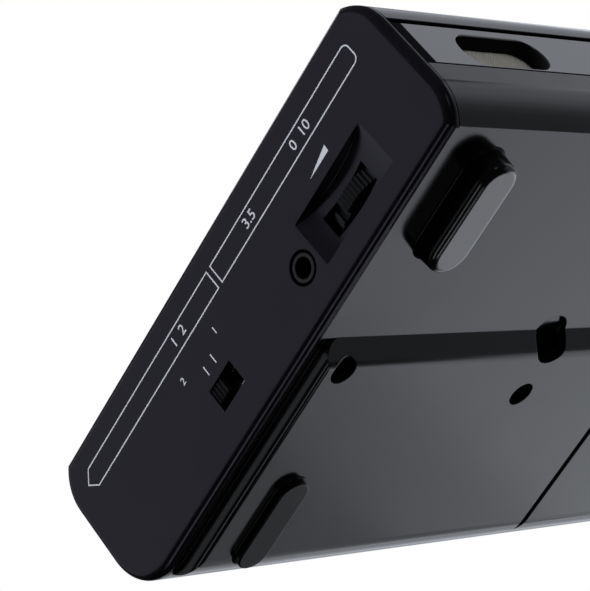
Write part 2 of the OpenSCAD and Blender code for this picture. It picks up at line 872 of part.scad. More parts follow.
module battery_contacts() {
    blade_over = 8;
    blade_drop = 4.5;
    stud_r = 1.5;
    blade_w = cell_pitch + blade_over;
    blade_z0 = cell_z - blade_drop;
    blade_z1 = cell_z + stud_r;
    color("silver") for (pair = [0:1]) {
        x = cell_x(2 * pair + 0.5);
        box(x - blade_w / 2, x + blade_w / 2, bay_y0, bay_y0 + contact_t, blade_z0, blade_z1);
        box(x - blade_w / 2, x + blade_w / 2, bay_y1 - contact_t, bay_y1, blade_z0, blade_z1);
        for (s = [-1, 1]) {
            rod_y(bay_y0 + contact_t / 2, cell_y0, x + s * cell_pitch / 2, cell_z, stud_r);
            rod_y(cell_y1, bay_y1 - contact_t / 2, x + s * cell_pitch / 2, cell_z, stud_r);
        }
    }
}

module phones_jack() {
    mouth = left + 0.1;
    body_x = -switch_front;
    body_len = 13;
    color("#202024") difference() {
        union() {
            box(body_x, body_x + body_len, phones_y - phones_half, phones_y + phones_half,
                main_top, phones_z + phones_drop);
            rod_x(mouth, body_x + over, phones_y, phones_z, phones_collar_r);
        }
        rod_x(mouth - over, body_x + body_len - 0.8, phones_y, phones_z, phones_r);
    }
}

module input_jacks() {
    back_wall = 1.2;
    slot_w = 1.2;
    slot_depth = 0.7;
    color("#222226") for (x = input_at) difference() {
        union() {
            box(x - input_half_w, x + input_half_w, input_mouth - input_len - back_wall, panel_back,
                input_z - input_half_h, input_z + input_half_h);
            rod_y(panel_back - over, input_mouth, x, input_z, input_bush_r);
            rod_y(panel_face, panel_face + nut_t, x, input_z, nut_r);
        }
        rod_y(input_mouth - input_len, input_mouth + over, x, input_z, input_r);
        for (s = [-1, 1]) translate([x, panel_face + nut_t, input_z + s * nut_r])
            cube([slot_w, 2 * slot_depth, 2 * slot_w], center = true);
    }
}

module volume_pot() {
    pot_half = 4.6;
    post_short = 0.4;
    color("#2a2a2e") {
        box(wheel_x - pot_half, wheel_x + pot_half, wheel_y - pot_half, wheel_y + pot_half,
            main_top, wheel_z0 - loose);
        rod_z(wheel_z0 - loose - over, wheel_z1 - post_short, [wheel_x, wheel_y], wheel_post_r);
    }
}

// Housing of a slide switch on the right-hand side, open towards the side panel
module switch_housing(y, z, travel, z0, z1) {
    end_wall = 2;
    y0 = min(y, y + travel) - slider_base_l / 2 - switch_clear;
    y1 = max(y, y + travel) + slider_base_l / 2 + switch_clear;
    difference() {
        box(switch_front - switch_depth, switch_front, y0 - end_wall, y1 + end_wall, z0, z1);
        box(switch_front - slider_base_t - slider_back, switch_front + over, y0, y1,
            z - slider_h / 2 - run, z + slider_h / 2 + run);
    }
}

// Slider of such a switch, with a grooved thumb piece
module switch_slider(y, z) {
    z0 = z - slider_h / 2;
    z1 = z + slider_h / 2;
    base_x = switch_front - slider_base_t - slider_back + run;
    groove_pitch = 0.85;
    groove_half = 0.2;
    groove_depth = 0.4;
    difference() {
        union() {
            box(base_x, base_x + slider_base_t, y - slider_base_l / 2, y + slider_base_l / 2, z0, z1);
            box(base_x, slider_tip, y - slider_w / 2, y + slider_w / 2, z0, z1);
        }
        for (k = [-1:1]) box(slider_tip - groove_depth, slider_tip + over, y + k * groove_pitch - groove_half,
            y + k * groove_pitch + groove_half, z0 - over, z1 + over);
    }
}

module input_switch_body() {
    color("#8f8f94") mirror([1, 0, 0])
        switch_housing(input_slider_y, input_slider_z, -slide_travel, main_top, input_switch_top);
}

module input_slider() {
    color("#26262b") mirror([1, 0, 0]) switch_slider(input_slider_y, input_slider_z);
}

module power_switch_body() {
    color("#8f8f94") switch_housing(power_slider_y, power_slider_z, power_travel,
        panel_z - power_switch_h, panel_z);
}

module power_slider() {
    color("#26262b") switch_slider(power_slider_y, power_slider_z);
}

module usb_socket() {
    depth = 9;
    half = usb_w / 2;
    tongue_half = half - 1.6;
    y1 = panel_face - loose;
    color("silver") difference() {
        union() {
            box(usb_x - half, usb_x + half, y1 - depth, y1, usb_z0, usb_z0 + usb_h);
            box(usb_x - half, usb_x + half, y1 - depth, panel_back - loose, main_top, usb_z0 + over);
        }
        difference() {
            box(usb_x - half + usb_wall, usb_x + half - usb_wall, y1 - depth + 2, y1 + over,
                usb_z0 + usb_wall, usb_z0 + usb_h - usb_wall);
            box(usb_x - tongue_half, usb_x + tongue_half, y1 - depth, y1 - 1, usb_z0 + 1.5, usb_z0 + 2.4);
        }
    }
}

module dc_jack() {
    back = panel_back - 12;
    mouth = panel_face - 0.2;
    color("#202024") {
        difference() {
            union() {
                box(dc_x - dc_half, dc_x + dc_half, back, panel_back, main_top, dc_z + dc_half);
                rod_y(panel_back - over, mouth, dc_x, dc_z, dc_nose_r);
            }
            rod_y(mouth - dc_depth, mouth + over, dc_x, dc_z, dc_r);
        }
        rod_y(mouth - dc_depth - over, mouth - 1, dc_x, dc_z, dc_pin_r);
    }
}

module card_socket() {
    color("silver") difference() {
        box(card_mouth - card_len - card_back, card_mouth,
            card_y - card_socket_w / 2, card_y + card_socket_w / 2, main_top, main_top + card_socket_h);
        box(card_mouth - card_len, card_mouth + over, card_y - card_w / 2, card_y + card_w / 2,
            main_top + 0.8, main_top + 0.8 + card_t);
    }
}

module knob_pots() {
    color("#5a6b73") for (p = pot_at) difference() {
        along_z(panel_top, panel_top + pot_h) plate(p, [pot_w, pot_w], 0.8);
        rod_z(stem_z - 0.5, panel_top + pot_h + over, p, stem_r + run);
    }
}

module data_encoder() {
    color("#5a6b73") difference() {
        along_z(panel_top, panel_top + pot_h) plate(data_at, [12, 12], 1);
        rod_z(stem_z - 0.5, panel_top + pot_h + over, data_at, stem_r + run);
    }
}

module key_switches() {
    color("#333338") for (p = concat(arm_at, menu_at, transport_at)) {
        along_z(panel_top, switch_top - 0.6) plate(p, [6, 4.5], 0.4);
        rod_z(switch_top - 0.6 - over / 2, switch_top, p, 1.4);
    }
}

module volume_wheel() {
    color("#222226") translate([wheel_x, wheel_y, wheel_z0]) difference() {
        linear_extrude(wheel_t) polygon([
            for (k = [0:2 * wheel_teeth - 1])
                (wheel_r - (k % 2) * wheel_tooth) * [cos(k * 180 / wheel_teeth), sin(k * 180 / wheel_teeth)]
        ]);
        translate([0, 0, -over]) cylinder(r = wheel_post_r + run, h = wheel_t + 2 * over);
        rotate(160) translate([wheel_r - 0.9, -0.9, -over]) cube([over * 2, 1.8, wheel_t + 2 * over]);
    }
}

// Groove in section that runs along a side edge of the battery door
module door_groove(x) {
    polygon([
        [x - door_edge, -over], [x + door_edge, -over], [x + door_edge, block_z],
        [x, block_z + door_edge], [x - door_edge, block_z]
    ]);
}

module battery_door() {
    color("#26272b") {
        intersection() {
            difference() {
                block_solid();
                along_x(door_x0 - over, door_x1 + over) block_section(door_t, wall + over);
            }
            along_y(door_y0, rear) difference() {
                translate([door_x0, 0]) square([door_w, door_top]);
                for (s = [-1, 1]) door_groove(bay_x + s * door_w / 2);
            }
        }
        for (s = [-1, 1]) {
            edge = bay_x + s * door_w / 2;
            tip = edge + s * tongue_reach;
            root = edge - s * 1.5;
            box(min(edge, root), max(edge, root), tongue_y0, tongue_y1,
                block_z + door_t / 2, rail_z + tongue_t);
            box(min(tip, root), max(tip, root), tongue_y0, tongue_y1, rail_z, rail_z + tongue_t);
        }
    }
}

module card_door() {
    half = card_door_half;
    inner_x = cap_in + 0.2;
    color("#1c1c21") difference() {
        union() {
            box(inner_x, right, card_y - half, card_y + half, card_hinge_z, card_hinge_z + card_door_h);
            rod_y(card_y - half, card_y + half, card_hinge_x, card_hinge_z, card_hinge_r);
            rod_y(card_y - half - card_pin_len, card_y + half + card_pin_len,
                card_hinge_x, card_hinge_z, card_pin_r);
        }
        box(right - 0.5, right + over, card_y - 4, card_y + 4, card_hinge_z + card_door_h - 1.2,
            card_hinge_z + card_door_h + over);
    }
}

// Turned knob with scalloped side, pointer groove and a stem down into its pot
module knob(at, r, h, flutes) {
    crown = 0.9;
    flute_r = 1.1;
    translate([at[0], at[1], 0]) difference() {
        union() {
            translate([0, 0, knob_z]) rotate_extrude() difference() {
                square([r, h]);
                corner_off(r, h, -1, -1, crown);
            }
            translate([0, 0, stem_z]) cylinder(r = stem_r, h = knob_z - stem_z + over);
        }
        for (k = [0:flutes - 1]) rotate((k + 0.5) * 360 / flutes)
            translate([r + flute_r * 0.62, 0, knob_z + 1.2]) cylinder(r = flute_r, h = h);
        translate([-0.4, r * 0.25, knob_z + h - 0.4]) cube([0.8, r, over]);
    }
}

module data_wheel() {
    dimple_r = 7;
    dimple_depth = 1.6;
    color("#2a2b2f") difference() {
        knob(data_at, data_r, data_h, 24);
        translate([data_at[0], data_at[1] + data_r * 0.55, knob_z + data_h + dimple_r - dimple_depth])
            sphere(dimple_r);
    }
}

module master_knob() {
    color("#2a2b2f") knob(master_at, master_r, level_h, 16);
}

module level_knob(k) {
    color("#2a2b2f") knob([track_x[k], level_y], level_r, level_h, 14);
}

module pan_knob(k) {
    color("#2a2b2f") knob([track_x[k], pan_y], small_r, small_h, 10);
}

module trim_knob(k) {
    color("#2a2b2f") knob([track_x[k], trim_y], small_r, small_h, 10);
}

// Moulded key with rounded top edges and a flange that stays under the cover
module key(at, size) {
    half_w = size[0] / 2;
    half_d = size[1] / 2;
    intersection() {
        along_z(key_z, key_top) plate(at, size, key_edge_r);
        along_y(at[1] - half_d - over, at[1] + half_d + over) difference() {
            translate([at[0] - half_w, key_z]) square([size[0], key_top - key_z]);
            corner_off(at[0] - half_w, key_top, 1, -1, key_edge_r);
            corner_off(at[0] + half_w, key_top, -1, -1, key_edge_r);
        }
        along_x(at[0] - half_w - over, at[0] + half_w + over) difference() {
            translate([at[1] - half_d, key_z]) square([size[1], key_top - key_z]);
            corner_off(at[1] - half_d, key_top, 1, -1, key_edge_r);
            corner_off(at[1] + half_d, key_top, -1, -1, key_edge_r);
        }
    }
    along_z(key_z, key_z + key_flange) plate(at, [size[0] + 2 * key_lip, size[1] + 2 * key_lip], key_edge_r);
}

module transport_key(k, tint) {
    color(tint) key(transport_at[k], transport_size);
}

module arm_key(k) {
    color("#7d2a2a") key(arm_at[k], arm_size);
}

module menu_key(k) {
    color("#45464b") key(menu_at[k], menu_size);
}

top_cover();
bottom_cover();
left_side_panel();
right_side_panel();
mic_bar();
rear_panel();
mic_grilles();
mic_capsules();
front_feet();
rear_left_foot();
rear_right_foot();
case_screws();
display_window();
display_module();
main_board();
panel_board();
battery_tray();
battery_cells();
battery_contacts();
phones_jack();
input_jacks();
volume_pot();
input_switch_body();
power_switch_body();
usb_socket();
dc_jack();
card_socket();
knob_pots();
data_encoder();
key_switches();
volume_wheel();
input_slider();
power_slider();
battery_door();
card_door();
data_wheel();
master_knob();
level_knob(0);  // level_knob_1
level_knob(1);  // level_knob_2
level_knob(2);  // level_knob_3
level_knob(3);  // level_knob_4
pan_knob(0);  // pan_knob_1
pan_knob(1);  // pan_knob_2
pan_knob(2);  // pan_knob_3
pan_knob(3);  // pan_knob_4
trim_knob(0);  // trim_knob_1
trim_knob(1);  // trim_knob_2
transport_key(0, "#45464b");  // rewind_key
transport_key(1, "#45464b");  // forward_key
transport_key(2, "#45464b");  // stop_key
transport_key(3, "#45464b");  // play_key
transport_key(4, "#8a2626");  // record_key
arm_key(0);  // arm_key_1
arm_key(1);  // arm_key_2
arm_key(2);  // arm_key_3
arm_key(3);  // arm_key_4
menu_key(0);  // menu_key_1
menu_key(1);  // menu_key_2
menu_key(2);  // menu_key_3
menu_key(3);  // menu_key_4
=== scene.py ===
import bpy
import bmesh
import json
import math
from mathutils import Matrix, Quaternion, Vector


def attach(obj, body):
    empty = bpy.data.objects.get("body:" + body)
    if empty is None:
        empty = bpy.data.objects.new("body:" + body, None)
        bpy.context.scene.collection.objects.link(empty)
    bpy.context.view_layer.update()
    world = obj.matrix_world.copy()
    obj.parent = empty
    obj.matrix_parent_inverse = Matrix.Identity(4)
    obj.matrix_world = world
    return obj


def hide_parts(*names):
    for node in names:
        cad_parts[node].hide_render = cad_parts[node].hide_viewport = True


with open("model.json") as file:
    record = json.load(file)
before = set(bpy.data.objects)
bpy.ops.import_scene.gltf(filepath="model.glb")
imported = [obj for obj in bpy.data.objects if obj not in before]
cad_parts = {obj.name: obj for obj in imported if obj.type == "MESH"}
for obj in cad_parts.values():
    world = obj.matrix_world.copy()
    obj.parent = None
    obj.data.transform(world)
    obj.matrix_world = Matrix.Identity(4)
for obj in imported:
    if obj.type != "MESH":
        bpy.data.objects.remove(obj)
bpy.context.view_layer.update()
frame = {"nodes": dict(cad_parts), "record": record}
nodes = frame["nodes"]
mm = 0.001


def nodeBox(name):  # lowest and highest corner of a node in mm
    points = [vertex.co / mm for vertex in nodes[name].data.vertices]
    return [[pick(point[axis] for point in points) for axis in range(3)] for pick in (min, max)]


print("frame loaded:", len(nodes), "nodes")

shot = {
    "place": (-0.34952, -0.18733, -0.18204),
    "turn": (0.691160890, -0.771651946, 0.277248700),  # axis times angle, world to lens
    "focal": 2399.24,  # in pixels of the 590 wide picture
    "picture": 590,
    "sensor": 36.0,
    "clip": (0.01, 20),
}


def buildCamera(setup):
    turn = Vector(setup["turn"])
    view = Quaternion(turn.normalized(), turn.length).to_matrix()
    axes = Matrix((view[0], -view[1], -view[2])).transposed()
    data = bpy.data.cameras.new("shotCamera")
    data.sensor_fit = "HORIZONTAL"
    data.sensor_width = setup["sensor"]
    data.lens = setup["focal"] * setup["sensor"] / setup["picture"]
    data.clip_start, data.clip_end = setup["clip"]
    camera = bpy.data.objects.new("shotCamera", data)
    bpy.context.scene.collection.objects.link(camera)
    camera.matrix_world = Matrix.Translation(Vector(setup["place"])) @ axes.to_4x4()
    bpy.context.scene.camera = camera


buildCamera(shot)
print("camera set")


def addNode(tree, kind, **settings):
    node = tree.nodes.new(kind)
    for key, value in settings.items():
        setattr(node, key, value)
    return node


def setInputs(node, **values):
    for key, value in values.items():
        node.inputs[key].default_value = value
    return node


def mathNode(tree, operation, a, b=None, clamp=False):
    node = addNode(tree, "ShaderNodeMath", operation=operation, use_clamp=clamp)
    for index, value in enumerate((a, b)):
        if value is None:
            continue
        if isinstance(value, (int, float)):
            node.inputs[index].default_value = value
        else:
            tree.links.new(value, node.inputs[index])
    return node.outputs[0]


def rangeNode(tree, value, limits, low=0.0, high=1.0):  # from limits to low and high
    values = {"From Min": limits[0], "From Max": limits[1], "To Min": low, "To Max": high}
    node = setInputs(addNode(tree, "ShaderNodeMapRange"), **values)
    tree.links.new(value, node.inputs["Value"])
    return node.outputs["Result"]


def newGroup(name, inputs, outputs):
    group = bpy.data.node_groups.new(name, "ShaderNodeTree")
    for label, default in inputs:
        socket = group.interface.new_socket(label, in_out="INPUT", socket_type="NodeSocketFloat")
        socket.default_value = default
    for label in outputs:
        group.interface.new_socket(label, in_out="OUTPUT", socket_type="NodeSocketFloat")
    return group, group.nodes.new("NodeGroupInput"), group.nodes.new("NodeGroupOutput")


skin = {"grain": dict(Detail=3.0, Roughness=0.55), "film": dict(Detail=5.0, Roughness=0.6, Distortion=0.4),
        "filmRange": (0.35, 0.68)}


def buildSkinGroup(noise):  # fine moulded grain and the uneven film that handling leaves
    sizes = [("Grain Size", 0.2), ("Film Size", 18.0)]
    group, entry, leave = newGroup("mouldedSkin", sizes, ["Grain", "Film"])
    coord = addNode(group, "ShaderNodeTexCoord")
    grain = setInputs(addNode(group, "ShaderNodeTexNoise"), **noise["grain"])
    film = setInputs(addNode(group, "ShaderNodeTexNoise"), **noise["film"])
    for texture, label in ((grain, "Grain Size"), (film, "Film Size")):
        group.links.new(coord.outputs["Object"], texture.inputs["Vector"])
        group.links.new(mathNode(group, "DIVIDE", 1 / mm, entry.outputs[label]), texture.inputs["Scale"])
    spread = rangeNode(group, film.outputs["Fac"], noise["filmRange"])
    group.links.new(grain.outputs["Fac"], leave.inputs["Grain"])
    group.links.new(spread, leave.inputs["Film"])
    return group


rubbing = {"detail": 4.0, "gain": 4.0, "range": (0.35, 0.65)}
bevelSamples = 4


def buildEdgeGroup(wear):  # rubbed line along convex and concave edges
    group, entry, leave = newGroup("edgeRub", [("Reach", 0.3), ("Patch Size", 3.0)], ["Rub"])
    bevel = addNode(group, "ShaderNodeBevel", samples=bevelSamples)
    geometry = addNode(group, "ShaderNodeNewGeometry")
    coord = addNode(group, "ShaderNodeTexCoord")
    patch = setInputs(addNode(group, "ShaderNodeTexNoise"), Detail=wear["detail"])
    group.links.new(mathNode(group, "MULTIPLY", entry.outputs["Reach"], mm), bevel.inputs["Radius"])
    group.links.new(mathNode(group, "DIVIDE", 1 / mm, entry.outputs["Patch Size"]), patch.inputs["Scale"])
    group.links.new(coord.outputs["Object"], patch.inputs["Vector"])
    lean = addNode(group, "ShaderNodeVectorMath", operation="DOT_PRODUCT")
    group.links.new(bevel.outputs["Normal"], lean.inputs[0])
    group.links.new(geometry.outputs["Normal"], lean.inputs[1])
    bent = mathNode(group, "SUBTRACT", 1.0, lean.outputs["Value"])
    edge = mathNode(group, "MULTIPLY", bent, wear["gain"], True)
    broken = rangeNode(group, patch.outputs["Fac"], wear["range"])
    group.links.new(mathNode(group, "MULTIPLY", edge, broken, True), leave.inputs["Rub"])
    return group


skinGroup = buildSkinGroup(skin)
edgeGroup = buildEdgeGroup(rubbing)


def newMaterial(name):
    material = bpy.data.materials.new(name)
    material.use_nodes = True
    tree = material.node_tree
    tree.nodes.clear()
    shader = addNode(tree, "ShaderNodeBsdfPrincipled")
    tree.links.new(shader.outputs["BSDF"], addNode(tree, "ShaderNodeOutputMaterial").inputs["Surface"])
    return material, tree, shader


def mixColours(tree, mask, base, other):  # sockets 6, 7 and 2 are the mix node's colours
    mix = addNode(tree, "ShaderNodeMix", data_type="RGBA")
    for socket, value in ((mix.inputs[6], base), (mix.inputs[7], other)):
        if isinstance(value, tuple):
            socket.default_value = (*value, 1.0)
        else:
            tree.links.new(value, socket)
    tree.links.new(mask, mix.inputs[0])
    return mix.outputs[2]


grainDepth = 0.02  # height of the moulded grain in mm


def finish(name, look):  # plastic, rubber, paint or metal with grain, film and rubbed edges
    material, tree, shader = newMaterial(name)
    worn = addNode(tree, "ShaderNodeGroup", node_tree=skinGroup)
    setInputs(worn, **{"Grain Size": look["grainSize"], "Film Size": look["filmSize"]})
    edge = addNode(tree, "ShaderNodeGroup", node_tree=edgeGroup)
    setInputs(edge, Reach=look["edge"])
    filmed = mixColours(tree, worn.outputs["Film"], look["colour"], look["filmColour"])
    rub = mathNode(tree, "MULTIPLY", edge.outputs["Rub"], look["rub"])
    tree.links.new(mixColours(tree, rub, filmed, look["rubColour"]), shader.inputs["Base Color"])
    tree.links.new(rangeNode(tree, worn.outputs["Film"], (0, 1), *look["rough"]), shader.inputs["Roughness"])
    bevel = setInputs(addNode(tree, "ShaderNodeBevel", samples=bevelSamples), Radius=look["edge"] * mm)
    bump = setInputs(addNode(tree, "ShaderNodeBump"), Strength=look["grain"], Distance=grainDepth * mm)
    tree.links.new(worn.outputs["Grain"], bump.inputs["Height"])
    tree.links.new(bevel.outputs["Normal"], bump.inputs["Normal"])
    tree.links.new(bump.outputs["Normal"], shader.inputs["Normal"])
    shader.inputs["Metallic"].default_value = look.get("metal", 0.0)
    shader.inputs["IOR"].default_value = look.get("ior", 1.5)
    if "polish" in look:  # clear layer that ends beyond these limits across, along and up
        place = addNode(tree, "ShaderNodeSeparateXYZ")
        tree.links.new(addNode(tree, "ShaderNodeTexCoord").outputs["Object"], place.inputs[0])
        sides = (mathNode(tree, "ABSOLUTE", place.outputs[0]), place.outputs[1], place.outputs[2])
        dull = 0.0
        for value, (start, full) in zip(sides, look["polish"]):
            dull = mathNode(tree, "MAXIMUM", rangeNode(tree, value, (start * mm, full * mm)), dull)
        tree.links.new(mathNode(tree, "SUBTRACT", 1.0, dull, True), shader.inputs["Coat Weight"])
        setInputs(shader, **{"Coat IOR": look["polishIor"], "Coat Roughness": look["polishRough"],
                             "Specular IOR Level": look["under"]})
    if "tint" in look:
        shader.inputs["Specular Tint"].default_value = (*look["tint"], 1.0)
    if look.get("glow"):
        tree.links.new(filmed, shader.inputs["Emission Color"])
        shader.inputs["Emission Strength"].default_value = look["glow"]
    return material


# sizes in mm, rough from clean to filmed, polish says where the clear layer starts to end and is gone
finishes = {
    "case_black": dict(
        colour=(0.011, 0.011, 0.013), filmColour=(0.014, 0.014, 0.016), rough=(0.1, 0.16),
        grainSize=0.5, grain=0.03, filmSize=22.0, edge=0.25, rub=0.15, rubColour=(0.05, 0.05, 0.055)),
    "gloss_black": dict(
        colour=(0.005, 0.005, 0.006), filmColour=(0.007, 0.007, 0.008), rough=(0.13, 0.19),
        grainSize=0.4, grain=0.05, filmSize=26.0, edge=0.2, rub=0.2, rubColour=(0.05, 0.05, 0.055)),
    "side_black": dict(
        colour=(0.0045, 0.0042, 0.0056), filmColour=(0.006, 0.0057, 0.0072), rough=(0.17, 0.23),
        grainSize=0.22, grain=0.06, filmSize=20.0, edge=0.2, rub=0.2, rubColour=(0.05, 0.05, 0.055),
        tint=(0.86, 0.82, 1.0)),
    "bar_gloss": dict(
        colour=(0.012, 0.012, 0.013), filmColour=(0.015, 0.015, 0.017), rough=(0.3, 0.4),
        grainSize=0.6, grain=0.02, filmSize=24.0, edge=0.15, rub=0.1, rubColour=(0.05, 0.05, 0.055),
        # the clear layer stops short of the bar's ends. The matt strip along its bottom and the matt walls
        # inside its slots are painted shade: they stand in for the dark seam below the bar and the shade
        # inside the slots
        polish=((72.5, 72.7), (-53.25, -53.1), (16.32, 16.24)),
        polishIor=2.65, polishRough=0.045, under=0.0),
    "plated": dict(
        colour=(0.6, 0.59, 0.57), filmColour=(0.48, 0.47, 0.44), rough=(0.18, 0.32),
        grainSize=0.3, grain=0.06, filmSize=6.0, edge=0.1, rub=0.2, rubColour=(0.75, 0.74, 0.72),
        metal=1.0),
    "foot": dict(
        colour=(0.003, 0.003, 0.0035), filmColour=(0.005, 0.005, 0.006), rough=(0.15, 0.21), ior=1.74,
        grainSize=0.4, grain=0.06, filmSize=8.0, edge=0.2, rub=0.3, rubColour=(0.05, 0.05, 0.055),
        polish=((90, 91), (0, 15), (0.7, 1.3)),
        polishIor=1.6, polishRough=0.18, under=0.1),
    "screw": dict(
        colour=(0.05, 0.05, 0.052), filmColour=(0.08, 0.08, 0.08), rough=(0.3, 0.45),
        grainSize=0.25, grain=0.1, filmSize=2.0, edge=0.12, rub=0.7, rubColour=(0.4, 0.4, 0.39),
        metal=0.9),
    "inner_black": dict(
        colour=(0.02, 0.02, 0.023), filmColour=(0.03, 0.03, 0.033), rough=(0.4, 0.55),
        grainSize=0.3, grain=0.1, filmSize=10.0, edge=0.15, rub=0.2, rubColour=(0.08, 0.08, 0.085)),
    "jack_black": dict(
        colour=(0.004, 0.004, 0.005), filmColour=(0.006, 0.006, 0.007), rough=(0.16, 0.24),
        grainSize=0.3, grain=0.06, filmSize=5.0, edge=0.2, rub=0.3, rubColour=(0.08, 0.08, 0.085)),
    "wheel": dict(
        colour=(0.006, 0.006, 0.007), filmColour=(0.009, 0.009, 0.01), rough=(0.28, 0.4), ior=1.38,
        grainSize=0.2, grain=0.1, filmSize=4.0, edge=0.1, rub=0.6, rubColour=(0.09, 0.09, 0.095),
        polish=((90, 91), (-5, 0), (90, 91)),
        polishIor=1.38, polishRough=0.34, under=0.1),
    "knob": dict(
        colour=(0.016, 0.016, 0.018), filmColour=(0.022, 0.022, 0.025), rough=(0.42, 0.55),
        grainSize=0.18, grain=0.15, filmSize=7.0, edge=0.2, rub=0.4, rubColour=(0.07, 0.07, 0.075)),
    "key_grey": dict(
        colour=(0.085, 0.086, 0.092), filmColour=(0.105, 0.106, 0.112), rough=(0.38, 0.5),
        grainSize=0.2, grain=0.12, filmSize=6.0, edge=0.2, rub=0.4, rubColour=(0.2, 0.2, 0.21)),
    "key_red": dict(
        colour=(0.3, 0.02, 0.018), filmColour=(0.35, 0.03, 0.026), rough=(0.36, 0.48),
        grainSize=0.2, grain=0.12, filmSize=6.0, edge=0.2, rub=0.4, rubColour=(0.5, 0.1, 0.09)),
    "lens": dict(
        colour=(0.008, 0.009, 0.01), filmColour=(0.011, 0.012, 0.013), rough=(0.03, 0.07),
        grainSize=0.8, grain=0.01, filmSize=16.0, edge=0.15, rub=0.1, rubColour=(0.05, 0.05, 0.05)),
    "display": dict(
        colour=(0.3, 0.36, 0.27), filmColour=(0.34, 0.4, 0.31), rough=(0.12, 0.2),
        grainSize=0.4, grain=0.04, filmSize=9.0, edge=0.1, rub=0.1, rubColour=(0.2, 0.2, 0.2)),
    "board": dict(
        colour=(0.015, 0.1, 0.045), filmColour=(0.02, 0.13, 0.06), rough=(0.28, 0.4),
        grainSize=0.35, grain=0.2, filmSize=5.0, edge=0.1, rub=0.6, rubColour=(0.45, 0.42, 0.28)),
    "cell": dict(
        colour=(0.55, 0.53, 0.47), filmColour=(0.62, 0.6, 0.54), rough=(0.22, 0.32),
        grainSize=0.5, grain=0.04, filmSize=12.0, edge=0.2, rub=0.3, rubColour=(0.7, 0.69, 0.66),
        metal=0.4),
    "mesh": dict(
        colour=(0.78, 0.73, 0.62), filmColour=(0.84, 0.79, 0.69), rough=(0.3, 0.42),
        grainSize=0.12, grain=0.1, filmSize=3.0, edge=0.05, rub=0.2, rubColour=(0.88, 0.84, 0.75)),
}
printFinishes = {
    "palePrint": dict(
        colour=(0.7, 0.7, 0.72), filmColour=(0.78, 0.78, 0.8), rough=(0.4, 0.52),
        grainSize=0.15, grain=0.1, filmSize=5.0, edge=0.02, rub=0.2, rubColour=(0.3, 0.3, 0.31)),
    "segmentGlow": dict(
        colour=(0.3, 0.55, 0.42), filmColour=(0.36, 0.62, 0.48), rough=(0.2, 0.3),
        grainSize=0.2, grain=0.04, filmSize=6.0, edge=0.02, rub=0.1, rubColour=(0.3, 0.5, 0.4),
        glow=0.35),
}
materials = {slot: finish(slot, spec) for slot, spec in {**finishes, **printFinishes}.items()}
for part in frame["record"]["subparts"]:
    piece = nodes[part["node"]]
    piece.data.materials.clear()
    piece.data.materials.append(materials[part["material_slot"]])
print("finishes on the frame:", len(finishes))

leftFace = nodeBox("left_side_panel")[0][0]
topFace = nodeBox("top_cover")[1][2]
rearFace = nodeBox("rear_panel")[1][1]
keyFace = nodeBox("play_key")[1][2]
printDepth = 0.03  # how far a print stands off its face


def addPiece(name, mesh, material, body):
    mesh.materials.clear()
    mesh.materials.append(material)
    piece = bpy.data.objects.new(name, mesh)
    bpy.context.scene.collection.objects.link(piece)
    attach(piece, body)
    return piece


def prism(bm, outline, place):  # flat outline in mm made into a thin plate, place gives its axes
    area = sum(a[0] * b[1] - b[0] * a[1] for a, b in zip(outline, outline[1:] + outline[:1]))
    points = outline if area > 0 else outline[::-1]
    low = [bm.verts.new(place @ Vector((x, y, 0)) * mm) for x, y in points]
    high = [bm.verts.new(place @ Vector((x, y, printDepth)) * mm) for x, y in points]
    bm.faces.new(low[::-1])
    bm.faces.new(high)
    for i in range(len(points)):
        j = (i + 1) % len(points)
        bm.faces.new((low[i], low[j], high[j], high[i]))


shortMitre = 0.3  # keeps the mitre of a sharp corner short


def stroke(bm, path, width, place, closed=False):  # line of even width along a path in mm
    count = len(path)
    sides = []
    for i, here in enumerate(path):
        ahead = path[(i + 1) % count] if closed or i < count - 1 else None
        behind = path[i - 1] if closed or i > 0 else None
        before = (Vector(here) - Vector(behind)).normalized() if behind else None
        after = (Vector(ahead) - Vector(here)).normalized() if ahead else None
        along = ((before or after) + (after or before)).normalized()
        across = Vector((-along.y, along.x))
        reach = width / 2 / max(shortMitre, along.dot(after or before))
        sides.append((Vector(here) + across * reach, Vector(here) - across * reach))
    spans = range(count if closed else count - 1)
    for i in spans:
        j = (i + 1) % count
        prism(bm, [tuple(sides[i][1]), tuple(sides[j][1]), tuple(sides[j][0]), tuple(sides[i][0])], place)


# height as a share of the type size, added weight as a share of the height, steps of a curve
numeral = {"share": 0.7, "swell": 0.012, "steps": 4}


def lettering(bm, text, middle, height, place):  # plain numerals, centred on a point of the face
    curve = bpy.data.curves.new("numeral", "FONT")
    curve.body = text
    curve.align_x = "CENTER"
    curve.align_y = "CENTER"
    curve.size = height / numeral["share"]
    curve.offset = numeral["swell"] * height
    curve.extrude = printDepth / 2
    curve.resolution_u = numeral["steps"]
    carrier = bpy.data.objects.new("numeral", curve)
    bpy.context.scene.collection.objects.link(carrier)
    mesh = bpy.data.meshes.new_from_object(carrier.evaluated_get(bpy.context.evaluated_depsgraph_get()))
    bpy.data.objects.remove(carrier)
    mesh.transform(Matrix.Translation((*middle, printDepth / 2)))
    mesh.transform(Matrix.Scale(mm, 4) @ place)
    bm.from_mesh(mesh)
    bpy.data.meshes.remove(mesh)


def finishPrint(name, bm, material, body):
    mesh = bpy.data.meshes.new(name)
    bm.to_mesh(mesh)
    bm.free()
    return addPiece(name, mesh, material, body)


def facePlace(right, up, origin):  # axes of a printed face: right, up and outward
    right, up = Vector(right), Vector(up)
    axes = Matrix((right, up, right.cross(up))).transposed()
    return Matrix.Translation(Vector(origin)) @ axes.to_4x4()


def arcPoints(middle, radius, start, end, steps):
    angles = [math.radians(start + (end - start) * i / steps) for i in range(steps + 1)]
    return [(middle[0] + radius * math.cos(a), middle[1] + radius * math.sin(a)) for a in angles]


